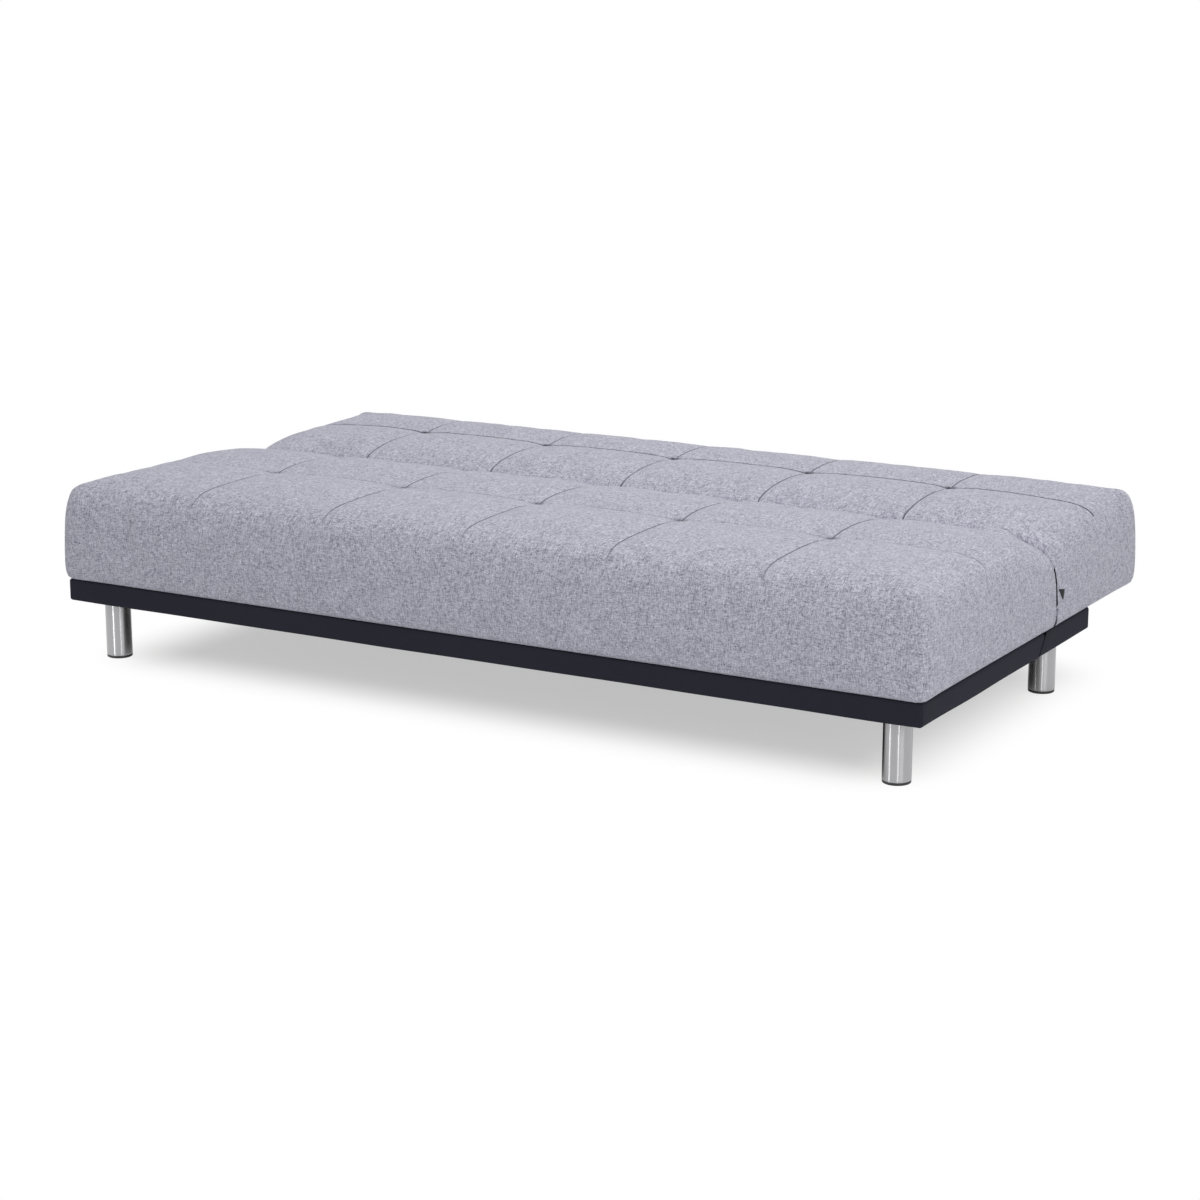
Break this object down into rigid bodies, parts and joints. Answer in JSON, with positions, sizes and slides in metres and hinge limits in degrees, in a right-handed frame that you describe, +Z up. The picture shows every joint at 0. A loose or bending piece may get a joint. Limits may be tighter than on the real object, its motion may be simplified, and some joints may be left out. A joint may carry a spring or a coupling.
{
  "type": "click clack sofa bed",
  "caption": "Armless click-clack sofa bed laid flat: tufted seat and back cushions in grey weave, black band round the base, chromed round legs, ratchet-hinged back.",
  "frame": {"origin": "on the floor, under the middle of the bed's outline, laid flat", "axes": "+X to the sofa bed's right-hand end as seen by a person facing its front, +Y from the seat's front towards the back cushion, +Z up"},
  "size_m": [1.81, 1.01, 0.368],
  "materials": {
    "woven_fabric": "heathered flat weave, light grey with a lavender cast, matt",
    "black_band": "blue-black coated cloth, matt",
    "black_lining": "thin black non-woven lining",
    "foam": "open-cell seat foam",
    "timber": "planed softwood, unfinished",
    "polished_chrome": "bright chrome over faintly brushed steel tube",
    "zinc_steel": "grey zinc-plated steel, satin",
    "black_plastic": "black moulded plastic"
  },
  "bodies": {
    "base": {"base_centre_rail": "timber", "base_cover_front": "black_band", "base_cover_rear": "black_band", "base_front_rail": "timber", "base_lining": "black_lining", "base_rear_rail": "timber", "base_side_rail_left": "timber", "base_side_rail_right": "timber", "corner_block_front_left": "timber", "corner_block_front_right": "timber", "corner_block_rear_left": "timber", "corner_block_rear_right": "timber", "hinge_pin_left": "zinc_steel", "hinge_pin_right": "zinc_steel", "leg_glide_front_left": "black_plastic", "leg_glide_front_right": "black_plastic", "leg_glide_rear_left": "black_plastic", "leg_glide_rear_right": "black_plastic", "leg_stud_front_left": "zinc_steel", "leg_stud_front_right": "zinc_steel", "leg_stud_rear_left": "zinc_steel", "leg_stud_rear_right": "zinc_steel", "leg_tube_front_left": "polished_chrome", "leg_tube_front_right": "polished_chrome", "leg_tube_rear_left": "polished_chrome", "leg_tube_rear_right": "polished_chrome", "pawl_pin_left": "zinc_steel", "pawl_pin_right": "zinc_steel", "pawl_spring_left": "zinc_steel", "pawl_spring_right": "zinc_steel", "seat_bolt_far_left": "zinc_steel", "seat_bolt_far_right": "zinc_steel", "seat_bolt_near_left": "zinc_steel", "seat_bolt_near_right": "zinc_steel", "seat_cover": "woven_fabric", "seat_foam": "foam", "seat_front_rail": "timber", "seat_hinge_arm_left": "zinc_steel", "seat_hinge_arm_right": "zinc_steel", "seat_hinge_rail": "timber", "seat_side_rail_left": "timber", "seat_side_rail_right": "timber", "seat_springs": "zinc_steel"},
    "back": {"back_bolt_far_left": "zinc_steel", "back_bolt_far_right": "zinc_steel", "back_bolt_near_left": "zinc_steel", "back_bolt_near_right": "zinc_steel", "back_cover": "woven_fabric", "back_foam": "foam", "back_hinge_arm_left": "zinc_steel", "back_hinge_arm_right": "zinc_steel", "back_hinge_rail": "timber", "back_lining": "black_lining", "back_side_rail_left": "timber", "back_side_rail_right": "timber", "back_springs": "zinc_steel", "back_top_rail": "timber"},
    "left_pawl": {"pawl_left": "zinc_steel"},
    "right_pawl": {"pawl_right": "zinc_steel"}
  },
  "joints": [
    {"name": "back_fold", "type": "hinge", "parent": "base", "child": "back", "pos_m": [0, 0.08, 0.322], "axis": [1, 0, 0], "range_deg": [0, 80]},
    {"name": "left_pawl_swing", "type": "hinge", "parent": "base", "child": "left_pawl", "pos_m": [-0.7964, 0.0415, 0.2496], "axis": [1, 0, 0], "range_deg": [0, 20]},
    {"name": "right_pawl_swing", "type": "hinge", "parent": "base", "child": "right_pawl", "pos_m": [0.7964, 0.0415, 0.2496], "axis": [1, 0, 0], "range_deg": [0, 20]}
  ]
}
